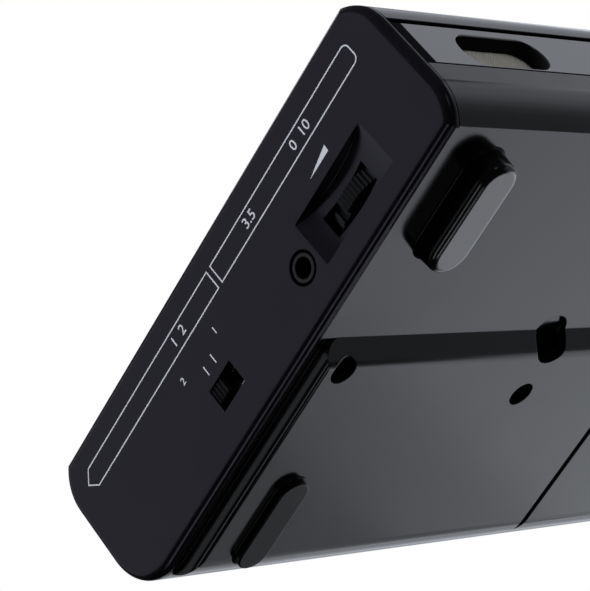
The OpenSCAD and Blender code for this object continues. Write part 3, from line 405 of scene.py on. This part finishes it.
# left panel print, in mm from the panel's middle towards the front and up from the case's floor
leftPrint = {
    "floor": 4.5, "line": 0.25, "low": 21.22, "high": 25.07,
    "rearFrame": (-45.65, -0.60), "rearTip": (-47.65, 23.12),
    "frontFrame": (0.68, 46.50), "corner": 1.1, "cornerSteps": 6,
    "wedge": ((31.88, 18.10), (31.78, 16.83), (25.82, 16.86)),
    "ticks": ((-10.20, 13.70, 15.65), (-12.85, 13.60, 15.50)),
    "numbers": (("1  2", -13.0, 23.2, 1.9), ("0  10", 29.7, 23.2, 1.9), ("3.5", 12.4, 23.2, 1.9),
                ("1", -6.5, 17.4, 1.4), ("2", -17.9, 17.4, 1.4)),
}


def buildLeftPrint(marks):
    bm = bmesh.new()
    place = facePlace((0, -1, 0), (0, 0, 1), (leftFace, 0, marks["floor"]))
    low, high, corner = marks["low"], marks["high"], marks["corner"]
    start, end = marks["rearFrame"]
    pointed = [(end, low), (end, high), (start, high), marks["rearTip"], (start, low)]
    stroke(bm, pointed, marks["line"], place, True)
    start, end = marks["frontFrame"]
    lowCorner = arcPoints((end - corner, low + corner), corner, -90, 0, marks["cornerSteps"])
    highCorner = arcPoints((end - corner, high - corner), corner, 0, 90, marks["cornerSteps"])
    stroke(bm, [(start, high), (start, low)] + lowCorner + highCorner, marks["line"], place, True)
    prism(bm, list(marks["wedge"]), place)
    for across, bottom, top in marks["ticks"]:
        stroke(bm, [(across, bottom), (across, top)], marks["line"], place)
    for text, across, up, height in marks["numbers"]:
        lettering(bm, text, (across, up), height, place)
    finishPrint("leftPrint", bm, materials["palePrint"], "case")


buildLeftPrint(leftPrint)
print("left print done")

# woven grille: wires of two sets that pass over and under each other behind both slots
weave = {"Width": 22.5, "Height": 9.6, "Pitch": 0.32, "Wire": 0.11, "Crimp": 0.095}
wire = {"sides": 4, "stepsPerPitch": 2.0}


def slotMiddle(width):  # middle of the right slot, from the solid grilles
    low, high = nodeBox("mic_grilles")
    return {"Slot Across": high[0] - width / 2, "Slot Depth": (low[1] + high[1]) / 2,
            "Slot Height": (low[2] + high[2]) / 2}


def startTree(name, kinds):  # node tree with a named input of each kind
    tree = bpy.data.node_groups.new(name, "GeometryNodeTree")
    addSocket = tree.interface.new_socket
    addSocket("Geometry", in_out="INPUT", socket_type="NodeSocketGeometry")
    sockets = {}
    for label, kind in kinds.items():
        sockets[label] = addSocket(label, in_out="INPUT", socket_type=kind).identifier
    addSocket("Geometry", in_out="OUTPUT", socket_type="NodeSocketGeometry")
    return tree, sockets, addNode(tree, "NodeGroupInput").outputs


def endTree(tree, instances, material):  # real meshes with their material
    real = addNode(tree, "GeometryNodeRealizeInstances")
    tree.links.new(instances, real.inputs[0])
    paint = addNode(tree, "GeometryNodeSetMaterial")
    paint.inputs["Material"].default_value = material
    tree.links.new(real.outputs[0], paint.inputs["Geometry"])
    tree.links.new(paint.outputs[0], addNode(tree, "NodeGroupOutput").inputs[0])


def buildWeave(fabric):
    tree, sockets, entry = startTree("grilleWeave", {label: "NodeSocketFloat" for label in fabric})

    def vector(x=None, y=None, z=None):
        node = addNode(tree, "ShaderNodeCombineXYZ")
        for socket, value in zip(node.inputs, (x, y, z)):
            if value is not None:
                tree.links.new(value, socket)
        return node.outputs[0]

    def half(value, sign):
        return mathNode(tree, "MULTIPLY", value, 0.5 * sign)

    def wireSet(alongX):
        length = entry["Width" if alongX else "Height"]
        across = entry["Height" if alongX else "Width"]
        pick = (lambda v: vector(x=v)) if alongX else (lambda v: vector(z=v))
        side = (lambda v: vector(z=v)) if alongX else (lambda v: vector(x=v))
        line = addNode(tree, "GeometryNodeCurvePrimitiveLine")
        tree.links.new(pick(half(length, -1)), line.inputs["Start"])
        tree.links.new(pick(half(length, 1)), line.inputs["End"])
        steps = addNode(tree, "GeometryNodeResampleCurve")
        tree.links.new(line.outputs[0], steps.inputs["Curve"])
        pitches = mathNode(tree, "DIVIDE", length, entry["Pitch"])
        count = mathNode(tree, "MULTIPLY", pitches, wire["stepsPerPitch"])
        tree.links.new(mathNode(tree, "CEIL", count), steps.inputs["Count"])
        position = addNode(tree, "ShaderNodeSeparateXYZ")
        tree.links.new(addNode(tree, "GeometryNodeInputPosition").outputs[0], position.inputs[0])
        run = position.outputs[0 if alongX else 2]
        turn = mathNode(tree, "MULTIPLY", mathNode(tree, "DIVIDE", run, entry["Pitch"]), math.pi)
        swing = mathNode(tree, "MULTIPLY", mathNode(tree, "COSINE", turn), entry["Crimp"])
        swing = mathNode(tree, "MULTIPLY", swing, 1.0 if alongX else -1.0)
        bend = addNode(tree, "GeometryNodeSetPosition")
        tree.links.new(steps.outputs[0], bend.inputs["Geometry"])
        tree.links.new(vector(y=swing), bend.inputs["Offset"])
        ring = setInputs(addNode(tree, "GeometryNodeCurvePrimitiveCircle"), Resolution=wire["sides"])
        tree.links.new(entry["Wire"], ring.inputs["Radius"])
        strand = setInputs(addNode(tree, "GeometryNodeCurveToMesh"), **{"Fill Caps": True})
        tree.links.new(bend.outputs[0], strand.inputs["Curve"])
        tree.links.new(ring.outputs[0], strand.inputs["Profile Curve"])
        rows = mathNode(tree, "FLOOR", mathNode(tree, "DIVIDE", across, entry["Pitch"]))
        points = addNode(tree, "GeometryNodeMeshLine", mode="OFFSET")
        tree.links.new(mathNode(tree, "ADD", rows, 1.0), points.inputs["Count"])
        span = mathNode(tree, "MULTIPLY", rows, entry["Pitch"])
        tree.links.new(side(half(span, -1)), points.inputs["Start Location"])
        tree.links.new(side(entry["Pitch"]), points.inputs["Offset"])
        odd = mathNode(tree, "MODULO", addNode(tree, "GeometryNodeInputIndex").outputs[0], 2.0)
        spread = addNode(tree, "GeometryNodeInstanceOnPoints")
        tree.links.new(points.outputs[0], spread.inputs["Points"])
        tree.links.new(strand.outputs[0], spread.inputs["Instance"])
        tree.links.new(pick(mathNode(tree, "MULTIPLY", odd, math.pi)), spread.inputs["Rotation"])
        return spread.outputs[0]

    joined = addNode(tree, "GeometryNodeJoinGeometry")
    for alongX in (True, False):
        tree.links.new(wireSet(alongX), joined.inputs[0])
    pair = setInputs(addNode(tree, "GeometryNodeMeshLine", mode="OFFSET"), Count=2)
    left = mathNode(tree, "MULTIPLY", entry["Slot Across"], -1.0)
    tree.links.new(vector(left, entry["Slot Depth"], entry["Slot Height"]), pair.inputs["Start Location"])
    tree.links.new(vector(x=mathNode(tree, "MULTIPLY", entry["Slot Across"], 2.0)), pair.inputs["Offset"])
    both = addNode(tree, "GeometryNodeInstanceOnPoints")
    tree.links.new(pair.outputs[0], both.inputs["Points"])
    tree.links.new(joined.outputs[0], both.inputs["Instance"])
    endTree(tree, both.outputs[0], materials["mesh"])
    return tree, sockets


def grow(name, tree, values, start):  # runs a node tree on a start mesh and keeps the result
    carrier = bpy.data.objects.new(name, start)
    bpy.context.scene.collection.objects.link(carrier)
    modifier = carrier.modifiers.new("grow", "NODES")
    modifier.node_group = tree
    for identifier, value in values.items():
        modifier[identifier] = value
    mesh = bpy.data.meshes.new_from_object(carrier.evaluated_get(bpy.context.evaluated_depsgraph_get()))
    bpy.data.objects.remove(carrier)
    bpy.data.meshes.remove(start)
    return mesh


def placeWeave(fabric):
    tree, sockets = buildWeave(fabric)
    values = {sockets[label]: fabric[label] * mm for label in fabric}
    mesh = grow("micWeave", tree, values, bpy.data.meshes.new("start"))
    piece = addPiece("micWeave", mesh, materials["mesh"], "case")
    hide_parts("mic_grilles")
    print("weave:", len(mesh.polygons), "faces")


placeWeave({**weave, **slotMiddle(weave["Width"])})


def measureKnob(name):  # across, along, radius and top
    low, high = nodeBox(name)
    radius = (high[1] - low[1]) / 2
    return high[0] - radius, (low[1] + high[1]) / 2, radius, high[2]


trackCount = 4
knobCounts = {"level": trackCount, "pan": trackCount, "trim": 2}
knobNames = [f"{kind}_knob_{i + 1}" for kind, count in knobCounts.items() for i in range(count)]
knobs = {name: measureKnob(name) for name in knobNames + ["master_knob"]}
pointer = {"half": 0.34, "sunk": 0.38, "below": 0.06, "start": 0.27, "rim": 0.75}  # start by the radius


def buildPointers(strip):  # pale inlay in the groove of each knob
    for node, (across, along, radius, top) in knobs.items():
        bm = bmesh.new()
        low = top - strip["sunk"]
        inner, outer = radius * strip["start"], radius - strip["rim"]
        size = (2 * strip["half"], outer - inner, strip["sunk"] - strip["below"])
        middle = (across, along + (inner + outer) / 2, low + size[2] / 2)
        place = Matrix.Translation(Vector(middle) * mm) @ Matrix.Diagonal((*size, 1))
        bmesh.ops.create_cube(bm, size=mm, matrix=place)
        finishPrint(f"pointer.{node}", bm, materials["palePrint"], node)


buildPointers(pointer)
print("pointers:", len(knobs))

# rings of printed ticks round the knobs, the sizes of a tick are shares of its ring's radius
scale = {"Ticks": 11, "Sweep": 280.0, "Length": 0.16, "Thickness": 0.045, "Depth": 0.005,
         "clear": 1.9, "lift": 0.02}


def buildScaleTree():
    kinds = {"Ticks": "NodeSocketInt", "Sweep": "NodeSocketFloat", "Length": "NodeSocketFloat",
             "Thickness": "NodeSocketFloat", "Depth": "NodeSocketFloat"}
    tree, sockets, entry = startTree("tickRings", kinds)
    ring = addNode(tree, "GeometryNodeMeshLine", mode="OFFSET")
    tree.links.new(entry["Ticks"], ring.inputs["Count"])
    ring.inputs["Offset"].default_value = (0, 0, 0)
    share = mathNode(tree, "DIVIDE", addNode(tree, "GeometryNodeInputIndex").outputs[0],
                     mathNode(tree, "SUBTRACT", entry["Ticks"], 1.0))
    angle = mathNode(tree, "MULTIPLY", mathNode(tree, "SUBTRACT", share, 0.5), entry["Sweep"])
    turn = addNode(tree, "ShaderNodeCombineXYZ")
    tree.links.new(angle, turn.inputs[2])
    size = addNode(tree, "ShaderNodeCombineXYZ")
    for socket, label in zip(size.inputs, ("Thickness", "Length", "Depth")):
        tree.links.new(entry[label], socket)
    tick = addNode(tree, "GeometryNodeMeshCube")
    tree.links.new(size.outputs[0], tick.inputs["Size"])
    away = addNode(tree, "GeometryNodeTransform")
    away.inputs["Translation"].default_value = (0, 1, 0)
    tree.links.new(tick.outputs[0], away.inputs["Geometry"])
    ticks = addNode(tree, "GeometryNodeInstanceOnPoints")
    tree.links.new(ring.outputs[0], ticks.inputs["Points"])
    tree.links.new(away.outputs[0], ticks.inputs["Instance"])
    tree.links.new(turn.outputs[0], ticks.inputs["Rotation"])
    reach = addNode(tree, "GeometryNodeInputNamedAttribute", data_type="FLOAT")
    reach.inputs["Name"].default_value = "reach"
    rings = addNode(tree, "GeometryNodeInstanceOnPoints")
    tree.links.new(entry["Geometry"], rings.inputs["Points"])
    tree.links.new(ticks.outputs[0], rings.inputs["Instance"])
    tree.links.new(reach.outputs[0], rings.inputs["Scale"])
    endTree(tree, rings.outputs[0], materials["palePrint"])
    return tree, sockets


def buildScales(dial):
    tree, sockets = buildScaleTree()
    start = bpy.data.meshes.new("knobCentres")
    centres = [Vector((x, y, topFace + dial["lift"])) * mm for x, y, radius, top in knobs.values()]
    start.from_pydata(centres, [], [])
    reach = start.attributes.new("reach", "FLOAT", "POINT")
    reach.data.foreach_set("value", [(radius + dial["clear"]) * mm for x, y, radius, top in knobs.values()])
    values = {sockets[label]: dial[label] for label in sockets}
    values[sockets["Sweep"]] = math.radians(dial["Sweep"])
    mesh = grow("topScales", tree, values, start)
    addPiece("topScales", mesh, materials["palePrint"], "case")
    print("scales:", len(mesh.polygons), "faces")


buildScales(scale)

symbols = {  # outlines in mm from the middle of each key
    "rewind_key": [[(0, 1.4), (-2.4, 0), (0, -1.4)], [(2.4, 1.4), (0, 0), (2.4, -1.4)]],
    "forward_key": [[(0, 1.4), (2.4, 0), (0, -1.4)], [(-2.4, 1.4), (0, 0), (-2.4, -1.4)]],
    "stop_key": [[(-1.3, -1.3), (1.3, -1.3), (1.3, 1.3), (-1.3, 1.3)]],
    "play_key": [[(-1.2, 1.5), (1.5, 0), (-1.2, -1.5)]],
    "record_key": [arcPoints((0, 0), 1.4, 0, 345, 23)],
}


def nodeMiddle(name):  # across and along
    low, high = nodeBox(name)
    return (low[0] + high[0]) / 2, (low[1] + high[1]) / 2


def buildSymbols():
    for key, outlines in symbols.items():
        bm = bmesh.new()
        place = facePlace((1, 0, 0), (0, 1, 0), (*nodeMiddle(key), keyFace))
        for outline in outlines:
            prism(bm, outline, place)
        finishPrint(f"symbol.{key}", bm, materials["palePrint"], key)


buildSymbols()

# numbers under the level knobs, lines under the arm keys and marks above the menu keys
topPrint = {"numbers": -11.6, "numberHeight": 2.2, "lines": -22.4, "lineReach": 6.5, "line": 0.25,
            "menuKeys": 4, "marks": 9.6, "markReach": 1.2, "mark": 0.3}


def buildTopPrint(marks):
    bm = bmesh.new()
    place = facePlace((1, 0, 0), (0, 1, 0), (0, 0, topFace))
    for number in range(1, trackCount + 1):
        across = knobs[f"level_knob_{number}"][0]
        lettering(bm, str(number), (across, marks["numbers"]), marks["numberHeight"], place)
        reach, along = marks["lineReach"], marks["lines"]
        stroke(bm, [(across - reach, along), (across + reach, along)], marks["line"], place)
    for number in range(1, marks["menuKeys"] + 1):
        across = nodeMiddle(f"menu_key_{number}")[0]
        reach, along = marks["markReach"], marks["marks"]
        stroke(bm, [(across - reach, along), (across + reach, along)], marks["mark"], place)
    finishPrint("topPrint", bm, materials["palePrint"], "case")


buildTopPrint(topPrint)

screen = {"left": 15.0, "low": 18.0, "bars": (11, 8, 13, 6), "step": 1.0, "height": 0.7, "width": 4.0,
          "pitch": 5.2, "counter": (50.5, 34.0), "digits": 4.2, "line": (38.0, 63.0), "lineAlong": 28.0,
          "lineWidth": 0.4}


def buildScreen(panel):  # lit level bars and a counter of plain digits in the window
    bm = bmesh.new()
    place = facePlace((1, 0, 0), (0, 1, 0), (0, 0, topFace))
    for column, count in enumerate(panel["bars"]):
        x = panel["left"] + column * panel["pitch"]
        for row in range(count):
            y = panel["low"] + row * panel["step"]
            right, top = x + panel["width"], y + panel["height"]
            prism(bm, [(x, y), (right, y), (right, top), (x, top)], place)
    lettering(bm, "00:00:00", panel["counter"], panel["digits"], place)
    stroke(bm, [(x, panel["lineAlong"]) for x in panel["line"]], panel["lineWidth"], place)
    finishPrint("screenMarks", bm, materials["segmentGlow"], "case")


buildScreen(screen)

rearPrint = {"across": (66.6, 29.6), "up": 20.3, "height": 2.6}  # across is seen from behind


def buildRearPrint(marks):
    bm = bmesh.new()
    place = facePlace((-1, 0, 0), (0, 0, 1), (0, rearFace, 0))
    for number, across in enumerate(marks["across"]):
        lettering(bm, str(number + 1), (across, marks["up"]), marks["height"], place)
    finishPrint("rearPrint", bm, materials["palePrint"], "case")


buildRearPrint(rearPrint)
print("prints done")

studio = {  # each light: azimuth and elevation of two edges in degrees, distance in metres, radiance
    "fill": 0.06, "dark": 0.012, "tint": (0.86, 0.91, 1.0), "cool": (0.94, 0.98, 1.06),
    "horizon": (-0.15, 0.45), "target": (0, 0, 0.02),
    "lights": {
        "farPanel": ((4, 60), (-12, 42), 1.3, 0.66),
        "lowPanel": ((-2, 33.5), (-42, -12), 1.2, 0.30),
        "lowMiddle": ((-4, 37.5), (-42, -10), 1.22, 0.32),
        "lowWide": ((-6, 50), (-40, -8), 1.25, 0.40),
        "frontPanel": ((-33.5, 10), (27, 48), 1.1, 0.55),
        "leftPanel": ((105, 178), (6, 58), 1.2, 0.29),
        "topPanel": ((30, 90), (62, 88), 1.1, 1.5),
        "cornerStrip": ((-109, -101), (-13, 2), 0.8, 0.7),
        "lowStrip": ((125, 168), (-41, -32), 0.8, 1.1),
        "underStrip": ((60, 110), (-69, -61), 0.8, 1.1),
    },
    "frontSteps": {  # stacked strips that fade downwards: lower and upper elevation, radiance
        "sides": (-58, 12), "distance": 1.12,
        "strips": ((20, 28.5, 0.52), (13, 20, 0.57), (6, 13, 0.52), (-1, 6, 0.38), (-8, -1, 0.26),
                   (-15, -8, 0.20), (-44, -15, 0.19)),
    },
    "softLights": {  # these light the prints and the mesh but are not mirrored
        "sidePanel": ((-200, -140), (30, 70), 1.1, 6.0),
        "meshPanel": ((-110, -60), (-25, 15), 1.1, 1.0),
    },
}


def buildWorld(room):  # dim fill that rises with height, white where the lens looks past the part
    world = bpy.data.worlds.new("studioWorld")
    bpy.context.scene.world = world
    world.use_nodes = True
    tree = world.node_tree
    tree.nodes.clear()
    split = addNode(tree, "ShaderNodeSeparateXYZ")
    tree.links.new(addNode(tree, "ShaderNodeTexCoord").outputs["Generated"], split.inputs[0])
    rise = addNode(tree, "ShaderNodeMapRange", interpolation_type="SMOOTHSTEP")
    setInputs(rise, **{"From Min": room["horizon"][0], "From Max": room["horizon"][1],
                       "To Min": room["dark"], "To Max": room["fill"]})
    tree.links.new(split.outputs[2], rise.inputs["Value"])
    soft = setInputs(addNode(tree, "ShaderNodeBackground"), Color=(*room["tint"], 1))
    tree.links.new(rise.outputs["Result"], soft.inputs["Strength"])
    seen = setInputs(addNode(tree, "ShaderNodeBackground"), Color=(1, 1, 1, 1), Strength=1.0)
    choose = addNode(tree, "ShaderNodeMixShader")
    tree.links.new(addNode(tree, "ShaderNodeLightPath").outputs["Is Camera Ray"], choose.inputs[0])
    tree.links.new(soft.outputs[0], choose.inputs[1])
    tree.links.new(seen.outputs[0], choose.inputs[2])
    tree.links.new(choose.outputs[0], addNode(tree, "ShaderNodeOutputWorld").inputs[0])


def addLight(name, sides, heights, distance, radiance, room):
    turn, tilt = math.radians(sum(sides) / 2), math.radians(sum(heights) / 2)
    away = Vector((math.cos(tilt) * math.cos(turn), math.cos(tilt) * math.sin(turn), math.sin(tilt)))
    width = 2 * distance * math.cos(tilt) * math.tan(math.radians(sides[1] - sides[0]) / 2)
    height = 2 * distance * math.tan(math.radians(heights[1] - heights[0]) / 2)
    data = bpy.data.lights.new(name, "AREA")
    data.shape = "RECTANGLE"
    data.size = width
    data.size_y = height
    data.energy = radiance * math.pi * width * height
    data.color = room["cool"]
    lamp = bpy.data.objects.new(name, data)
    bpy.context.scene.collection.objects.link(lamp)
    lamp.location = Vector(room["target"]) + away * distance
    lamp.rotation_euler = (-away).to_track_quat("-Z", "Y").to_euler()
    lamp.visible_camera = False
    lamp.visible_glossy = name not in room["softLights"]


def buildLights(room):
    steps = room["frontSteps"]
    stack = {f"frontStep{i}": (steps["sides"], (low, high), steps["distance"], radiance)
             for i, (low, high, radiance) in enumerate(steps["strips"])}
    for name, light in {**room["lights"], **stack, **room["softLights"]}.items():
        addLight(name, *light, room)


paper = {"size": 6.0, "colour": (0.86, 0.86, 0.85), "fibre": 0.97, "fibreScale": 900.0, "detail": 4.0,
         "rough": 0.8}


def buildFloor(sheet):  # pale paper from above, clear from below
    half = sheet["size"] / 2
    corners = [(-half, -half, 0), (half, -half, 0), (half, half, 0), (-half, half, 0)]
    mesh = bpy.data.meshes.new("studioFloor")
    mesh.from_pydata(corners, [], [(0, 1, 2, 3)])
    floor = bpy.data.objects.new("studioFloor", mesh)
    bpy.context.scene.collection.objects.link(floor)
    material, tree, shader = newMaterial("floorPaper")
    fibre = setInputs(addNode(tree, "ShaderNodeTexNoise"), Scale=sheet["fibreScale"], Detail=sheet["detail"])
    tree.links.new(addNode(tree, "ShaderNodeTexCoord").outputs["Object"], fibre.inputs["Vector"])
    dim = tuple(c * sheet["fibre"] for c in sheet["colour"])
    tree.links.new(mixColours(tree, fibre.outputs["Fac"], sheet["colour"], dim), shader.inputs["Base Color"])
    shader.inputs["Roughness"].default_value = sheet["rough"]
    oneWay = addNode(tree, "ShaderNodeMixShader")
    tree.links.new(addNode(tree, "ShaderNodeNewGeometry").outputs["Backfacing"], oneWay.inputs[0])
    tree.links.new(shader.outputs["BSDF"], oneWay.inputs[1])
    tree.links.new(addNode(tree, "ShaderNodeBsdfTransparent").outputs[0], oneWay.inputs[2])
    out = [n for n in tree.nodes if n.bl_idname == "ShaderNodeOutputMaterial"][0]
    tree.links.new(oneWay.outputs[0], out.inputs["Surface"])
    mesh.materials.append(material)
    floor.visible_diffuse = False
    floor.visible_glossy = False
    floor.visible_shadow = False
    floor.visible_transmission = False


buildWorld(studio)
buildLights(studio)
buildFloor(paper)
bpy.context.scene.view_settings.view_transform = "Standard"
print("studio built")
